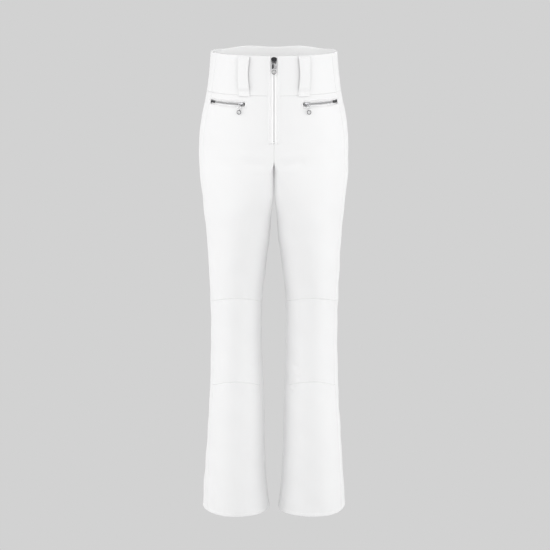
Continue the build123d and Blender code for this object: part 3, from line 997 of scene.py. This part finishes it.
def fly_shield():
    """A doubled strip of cloth behind the zip, sewn to the wearer's left."""
    shield = Solid("fly_guard", ZIP_PLACE)
    profile = rounded([(-20, 8.2), (20.5, 8.2), (22.6, 7.0), (22.6, 4.6), (24, 4.6), (24, 8.6), (21, 9.4),
                       (-20, 9.4)], 0.55)
    loose = 0.35 * np.clip((20 - profile[:, 0]) / 40, 0, 1)
    shield.rings([zip_ring(profile, z, back=loose * sin(z / 21.0))
                  for z in np.linspace(-3.6, -ZIP_LENGTH + 1.5, 70)])
    fit(shield.build("lining"), "lining", "hips", "fly_shield")


def zip_stops():
    top, low = Solid("front_top_stops", ZIP_PLACE), Solid("front_bottom_stop", ZIP_PLACE)
    for x in (1.75, -1.75):
        top.plate(rounded(rect(x - 1.2, x + 1.2, -1.85, -0.75), 0.35), 4.12, 5.6, 0.25)
    low.plate(rounded(rect(-3.1, 3.1, -189.8, -184.4), 0.9), 4.15, 6.3, 0.4)
    for solid, node in ((top, "front_zip_top_stops"), (low, "front_zip_bottom_stop")):
        fit(solid.build("dark"), "slider_dark", "hips", node)


def slider(body, plates, flange_x, flange_half, flange, neck_low, neck, arch, strap):
    """Plates as (outline, corner, depths, edge), two flanges, a neck and a bridge: a strap bent
    along an arch of (y, z) points."""
    for outline, corner, *levels in plates:
        body.plate(rounded(symmetric(*outline), corner), *levels)
    for x in (flange_x, -flange_x):
        body.plate(rounded(rect(x - flange_half, x + flange_half, -5.4, 1.0), 0.3), *flange)
    body.plate(rounded(rect(-0.43, 0.43, neck_low, 6.0), 0.2), *neck, 0.1)
    path = refine(np.array([(0.0, y, z) for y, z in arch]))
    thick, wide, corner = strap
    body.sweep(path, rounded(rect(-thick, thick, -wide, wide), corner, 3), up=(1, 0, 0))
    return body


def front_slider():
    """Dark slider with a shield-shaped front plate in two steps."""
    body = slider(
        Solid("dark_slider", FRONT_PLACE),
        [([(3.9, -6.3), (5.2, -1.5), (6.3, 2.2), (4.4, 5.2), (0.0, 6.3)], 1.6, 1.15, 2.85, 0.5),
         ([(3.2, -5.2), (4.2, 1.9), (2.4, 4.5)], 1.4, 0.55, 1.5, 0.45),
         ([(3.4, -6.2), (4.6, 2.0), (3.4, 6.0)], 1.2, 6.2, 7.4, 0.35)],
        4.2, 0.4, (4.5, 6.5, 0.15), 3.2, (2.6, 6.4),
        [(0.7, -5.0), (-1.3, -5.05), (-2.9, -4.8), (-3.25, -3.2), (-3.25, -1.0), (-3.25, 1.0), (-2.6, 2.4),
         (-1.2, 2.9), (0.7, 2.9)], (0.38, 1.5, 0.3))
    fit(body.build("dark"), "slider_dark", "front_slider", "front_zip_slider")


def refine(path, times=2):
    """Rounds a path by cutting its corners."""
    for _ in range(times):
        a = path[:-1] * 0.75 + path[1:] * 0.25
        b = path[:-1] * 0.25 + path[1:] * 0.75
        cut = np.stack([a, b], 1).reshape(-1, 3)
        path = np.concatenate([path[:1], cut, path[-1:]])
    return path


def front_pull():
    """A chrome plate with a slot, hanging from the bridge on a round bar, and a dark strip on its left
    side, a painted reflection standing for the dark the chrome reflects there.
    """
    pull = Solid("chrome_pull", FRONT_PLACE)
    y, z = PIVOT_Y, -PIVOT_DROP
    pull.sweep([(-3.1, y, z), (-2.9, y, z), (2.9, y, z), (3.1, y, z)], circle(0.68, 14))
    foot, waist, top = z - FRONT_PULL, z - 5.0, z + 0.9
    plate = symmetric((4.6, foot), (5.15, foot + 8), (4.3, waist))
    hole = symmetric((1.5, z - 8.6), (1.7, z - 7.4), (1.5, z - 6.2))
    pull.plate(rounded(plate, 1.5, 6), y - 0.6, y + 0.6, 0.32, hole=rounded(hole, 0.7, 6))
    pull.torus((0, HOOK_Y, foot - 2.0), 1.5, 0.55, (1.0, 0.0, 0.0))
    pull.sweep(refine(np.array([(0, y, foot + 0.5), (0, y - 0.1, foot - 0.1), (0, HOOK_Y, foot - 0.6)])),
               circle(0.55, 10))
    pull.mark = 1
    loop = symmetric((4.2, waist - 0.4), (3.9, z - 2.0), (3.4, top))
    slot = symmetric((2.3, z - 4.8), (2.3, z - 1.5), (2.1, z + 0.1))
    pull.plate(rounded(loop, 1.1, 6), y - 0.62, y + 0.62, 0.3, hole=rounded(slot, 0.7, 6))
    # painted reflection: a thin dark plate on the chrome's left side stands for the dark that the chrome
    # reflects
    strip = [(-4.5, foot + 0.8), (-2.6, foot + 0.8), (0.1, foot + 4.4), (-1.0, foot + 8.0),
             (-1.9, waist - 0.5), (-3.9, waist - 0.5), (-4.8, foot + 8)]
    pull.plate(rounded(strip, 0.5), y - 0.76, y + 0.4, 0.15)
    fit(pull.build("chrome", "dark"), "zip_metal", "front_pull", "front_zip_pull")


def charm(name, place, centre, node, body):
    """The round ring on a pull."""
    hoop = Solid(name, place)
    hoop.torus(centre, RING_R, RING_WIRE, (0.0, 1.0, 0.0), 56, 14)
    fit(hoop.build("ring"), "zip_metal", body, node)


def make_front_zip():
    for side in (1, -1):
        fly_lip(side)
        zip_tape(side)
        front_coil(side)
    fly_shield()
    zip_stops()
    front_slider()
    front_pull()
    charm("chrome_ring", FRONT_PLACE, (0, HOOK_Y, -PIVOT_DROP - FRONT_PULL - 2.0 - RING_R),
          "front_zip_ring", "front_ring")
    stitched = Thread("fly_stitches")
    turn, origin = np.array(ZIP_PLACE)[:3, :3], np.array(ZIP_PLACE)[:3, 3]
    lines = [zip_line(-1.5, -ZIP_LENGTH + 2.0, x, -0.50, 120) for x in (9.6, -9.6)]
    for level in (-188.2, -187.4, -186.6):
        lines.append(np.array([(x, 3.2, level) for x in np.linspace(-5.6, 5.6, 12)]))
    for line in lines:
        points = line * 0.001 @ turn.T + origin
        stitched.row(points, np.broadcast_to(turn @ (0, -1, 0), points.shape))
    fit(stitched.build(), "cloth", "hips")


# ---- pocket zips, on an arc round the hip ----
POCKET_AXIS = (29.7, 36.2)
POCKET_R = 134.2
POCKET_LEAN = radians(8.5)
POCKET_ENDS = (radians(-75.4), radians(-35.2))
POCKET_HALF = 5.6
WELT = 3.0
POCKET_SLIDER = radians(-71.6)
BRIDGE_Y = -2.6
EYE_X = -13.3               # the eye of the pocket pull, below the slider
HANG = -2.6                 # the pocket pull hangs off the slider's middle, away from the fly


def arc_point(turn, y, up):
    """A point in millimetres, from an angle about the arc's axis, a depth and a height."""
    turn, y, up = np.broadcast_arrays(*(np.asarray(v, float) for v in (turn, y, up)))
    reach = POCKET_R - y * cos(POCKET_LEAN) - up * sin(POCKET_LEAN)
    return np.stack([POCKET_AXIS[0] + reach * np.cos(turn), POCKET_AXIS[1] + reach * np.sin(turn),
                     POCKET_Z * 1000 - y * sin(POCKET_LEAN) + up * cos(POCKET_LEAN)], -1)


def mirrored(side):
    return Matrix.Diagonal((side, 1, 1, 1))


def pocket_place(side):
    """x up the cloth, y inwards, z towards the fly, at the slider."""
    out = Vector((cos(POCKET_SLIDER), sin(POCKET_SLIDER), 0))
    up = Vector((-sin(POCKET_LEAN) * out.x, -sin(POCKET_LEAN) * out.y, cos(POCKET_LEAN)))
    along = Vector((sin(POCKET_SLIDER), -cos(POCKET_SLIDER), 0))
    inward = along.cross(up)
    origin = Vector(arc_point(POCKET_SLIDER, 0, 0).tolist()) * 0.001
    place = Matrix((up, inward, along)).transposed().to_4x4()
    place.translation = origin
    return mirrored(side) @ place


def welt_outline():
    """A rounded rectangle round the opening, laid flat: millimetres along the arc, and up."""
    middle = (POCKET_ENDS[0] + POCKET_ENDS[1]) / 2 * POCKET_R
    half = (POCKET_ENDS[1] - POCKET_ENDS[0]) / 2 * POCKET_R
    line = rounded(rect(-half, half, -POCKET_HALF, POCKET_HALF), 1.2, 6)
    dense = []
    for a, b in zip(line, np.roll(line, -1, 0)):
        count = max(1, int(np.linalg.norm(b - a) / 1.6))
        dense += [a + (b - a) * k / count for k in range(count)]
    return np.array(dense) + (middle, 0)


def pocket_welt(side):
    """The folded lips round the zip, one rounded frame."""
    frame_cloth = Solid(handed("pocket_lips", side), mirrored(side))
    flat = welt_outline()
    profile = rounded([(-0.4, 1.5), (0.9, -0.45), (WELT, -0.75), (WELT + 0.3, 0.5), (WELT, 2.7),
                       (0.0, 2.9)], 0.9, 4)
    rings = []
    for out, y in profile:
        moved = shrink(flat, -out)
        rings.append(arc_point(moved[:, 0] / POCKET_R, y, moved[:, 1]))
    frame_cloth.rings(rings, closed=True)
    return frame_cloth.build("cloth")


def pocket_tapes(side):
    tape = Solid(handed("pocket_tapes", side), mirrored(side))
    for s in (1, -1):
        profile = rounded(rect(3.75, 4.45, s * TAPE_GAP, s * 9.4), 0.2, 2)
        turns = np.linspace(POCKET_ENDS[0] - 0.030, POCKET_ENDS[1] + 0.030, 70)
        tape.rings([arc_point(t, profile[:, 0], profile[:, 1]) for t in turns])
    return tape.build("tape")


def pocket_coils(side):
    """Two coils whose turns mesh, on the outside of the tape."""
    coil = Solid(handed("pocket_coils", side), mirrored(side))
    start, end = POCKET_ENDS[0] + radians(1.3), POCKET_ENDS[1] - radians(6.3)
    turns = 62
    for s in (1, -1):
        turn, up, y = coil_path(turns, start, end, 0.55, 2.55, 2.75, 0.68)
        if s < 0:
            turn = turn + (end - start) / turns / 2
        coil.sweep(arc_point(turn, y, s * up), circle(0.30, 6))
        coil.sweep(arc_point(np.linspace(start, end, 50), 2.75, s * 1.75), circle(0.36, 6))
    return coil.build("coil")


def pocket_stops(side):
    """A long black stop at the outer end and a short one at the end near the fly."""
    stops = Solid(handed("pocket_end_stops", side), mirrored(side))
    start, end = POCKET_ENDS
    # depths, half height, two ends, and how the ends are rounded: steps along and their scale
    long_stop = (0.9, 3.7, 2.6, end - radians(5.9), end - radians(0.2),
                 [0.0, 0.004, 0.010], [0.80, 0.95, 1.0])
    short_stop = (1.8, 3.7, 2.4, start + radians(0.3), start + radians(1.0), [0.0, 0.002], [0.85, 1.0])
    for y0, y1, half, a, b, edge, scale in (long_stop, short_stop):
        profile = rounded(rect(y0, y1, -half, half), 0.55, 3)
        centre = profile.mean(0)
        turns = [a + e for e in edge] + [b - e for e in reversed(edge)]
        stops.rings([arc_point(t, *(centre + (profile - centre) * k).T)
                     for t, k in zip(turns, scale + scale[::-1])])
    return stops.build("stop")


def pocket_bag(side):
    """Bag of thin cloth: its back layer starts at the zip's upper tape, its front layer at the
    lower one, and they are sewn together at the sides and the bottom."""
    bag = Solid(handed("pocket_pouch", side), mirrored(side))
    back = [(4.7, 9.2), (7.2, 8.6), (9.4, 4.0), (10.9, -6.0), (11.3, -30.0), (11.5, -70.0), (11.3, -108.0)]
    front = [(9.3, -112.0), (8.6, -108.0), (8.3, -70.0), (8.4, -30.0), (7.0, -16.0), (4.9, -9.3)]
    line = refine(np.array([(a, b, 0.0) for a, b in back + [(10.6, -115.0)] + front]))[:, :2]
    thick = 0.35
    way = unit(np.gradient(line, axis=0))
    off = np.stack([way[:, 1], -way[:, 0]], -1) * thick
    profile = np.concatenate([line + off, (line - off)[::-1]])
    start, end = POCKET_ENDS[0] + radians(1.0), POCKET_ENDS[1] - radians(8.0)
    rings = []
    for t in np.linspace(start, end, 40):
        edge = min(t - start, end - t) / (end - start)
        open_share = 0.25 + 0.75 * float(smooth(edge * 7))
        lift = 1 - 0.10 * (1 - float(smooth(edge * 5)))
        y, up = profile[:, 0], profile[:, 1]
        low = smooth((-up - 9) / 20)
        flat = 10.4 + (y - 10.4) * open_share
        y = y * (1 - low) + flat * low
        up = np.where(up < -20, -20 + (up + 20) * lift, up)
        rings.append(arc_point(t, y, up))
    bag.rings(rings)
    return bag.build("lining")


def pocket_slider(side):
    body = slider(
        Solid(handed("chrome_slider", side), pocket_place(side)),
        [([(3.1, -6.2), (3.6, -1.5), (4.3, 2.4), (3.0, 5.4), (0.0, 6.3)], 1.3, 0.25, 1.4, 0.4),
         ([(3.1, -6.1), (4.1, 2.4), (3.0, 6.0)], 1.0, 4.8, 5.95, 0.3)],
        3.7, 0.45, (1.2, 3.2, 0.2), 3.3, (1.2, 5.0),
        [(0.6, -4.1), (-1.4, -4.15), (BRIDGE_Y, -3.7), (BRIDGE_Y, -2.0), (BRIDGE_Y, 2.0), (BRIDGE_Y, 3.7),
         (-1.4, 4.15), (0.6, 4.1)], (0.48, 0.68, 0.25))
    return body.build("steel")


def pocket_pull(side):
    """A wire frame hanging from the bridge, with an eye for the ring below."""
    pull = Solid(handed("wire_pull", side), pocket_place(side))
    pull.torus((0, BRIDGE_Y, HANG), 1.72, 0.5, (0.0, 0.0, 1.0), 32, 10)
    line = rounded([(-11.0, -2.85), (-2.5, -2.2), (-2.5, 2.2), (-11.0, 2.85)], 1.3, 5)
    path = np.stack([line[:, 0], np.full(len(line), BRIDGE_Y), line[:, 1] + HANG], -1)
    pull.sweep(path, circle(0.55, 10), closed=True, up=(0, 1, 0))
    pull.torus((EYE_X, HOOK_Y, HANG), 1.5, 0.5, (0.0, 0.0, 1.0), 32, 10)
    return pull.build("chrome")


def make_pockets():
    for side in (1, -1):
        for piece, node, slot in ((pocket_welt(side), "pocket_welt", "cloth"),
                                  (pocket_tapes(side), "pocket_zip_tape", "zip_tape"),
                                  (pocket_coils(side), "pocket_zip_coil", "zip_coil"),
                                  (pocket_stops(side), "pocket_zip_stops", "stop_black"),
                                  (pocket_bag(side), "pocket_bag", "pocket_lining")):
            fit(piece, slot, "hips", handed(node, side))
        for piece, stem in ((pocket_slider(side), "slider"), (pocket_pull(side), "pull")):
            fit(piece, "zip_metal", handed(f"pocket_{stem}", side), handed(f"pocket_zip_{stem}", side))
        charm(handed("pocket_hoop", side), pocket_place(side), (EYE_X - RING_R, HOOK_Y, HANG),
              handed("pocket_zip_ring", side), handed("pocket_ring", side))
        thread = Thread(handed("pocket_stitches", side))
        moved = shrink(welt_outline(), -WELT * 0.72)
        moved = np.concatenate([moved, moved[:1]])
        face, deep = (arc_point(moved[:, 0] / POCKET_R, y, moved[:, 1]) * 0.001 for y in (-0.78, 0.22))
        thread.row(face, (face - deep) * 1000, side)
        fit(thread.build(), "cloth", "hips")


# ---- stage, light and camera ----
BACKGROUND = (0.6445, 0.6445, 0.6445, 1.0)
FLOOR_Z = -1.12


def make_stage():
    """A plain pale floor and a studio of the same tone."""
    mesh = bpy.data.meshes.new("floor")
    mesh.from_pydata([(x, y, 0) for x, y in rect(-40, 40, -40, 40)], [], [(0, 1, 2, 3)])
    floor = put_in_scene(mesh)
    floor.location.z = FLOOR_Z
    mat, shader, links = new_material("pale floor")
    mat.node_tree.nodes.remove(shader)
    glow = node(mat, "ShaderNodeEmission", Color=BACKGROUND)
    links.new(glow.outputs["Emission"], mat.node_tree.nodes["Material Output"].inputs["Surface"])
    mesh.materials.append(mat)
    world = bpy.data.worlds.new("studio")
    world.use_nodes = True
    world.node_tree.nodes["Background"].inputs["Color"].default_value = BACKGROUND
    bpy.context.scene.world = world
    bpy.context.scene.view_settings.view_transform = "Standard"


LIT = Vector((0, 0, -0.5))  # the point that every light faces


def soft_light(name, place, size, power):
    data = bpy.data.lights.new(name, "AREA")
    data.shape = "DISK"
    data.size = size
    data.energy = power
    lamp = bpy.data.objects.new(name, data)
    lamp.location = place
    lamp.rotation_euler = (LIT - Vector(place)).to_track_quat("-Z", "Y").to_euler()
    bpy.context.scene.collection.objects.link(lamp)


def make_lights():
    for side, name in ((1, "left"), (-1, "right")):
        soft_light(f"key light {name}", (side * 2.4, -3.0, 1.2), 2.2, 43)
        soft_light(f"side light {name}", (side * 3.8, -0.5, 0.2), 2.2, 35)
        soft_light(f"low light {name}", (side * 1.9, -0.75, -0.9), 1.2, 7.5)
    soft_light("back light", (0, 3.4, 0.6), 2.6, 30)


LENS = 148.4
LOOKS_DOWN = radians(12.4)


def make_camera():
    data = bpy.data.cameras.new("camera")
    data.sensor_width = 36
    data.lens = LENS
    data.shift_x = 0.0018
    data.clip_end = 100
    cam = bpy.data.objects.new("camera", data)
    cam.location = (0, -4.981, 0.590)
    cam.rotation_euler = (pi / 2 - LOOKS_DOWN, 0, 0)
    bpy.context.scene.collection.objects.link(cam)
    bpy.context.scene.camera = cam


make_stage()
make_lights()
make_camera()
make_legs()
make_hems()
make_waistband()
make_belt_loops()
make_front_zip()
make_pockets()
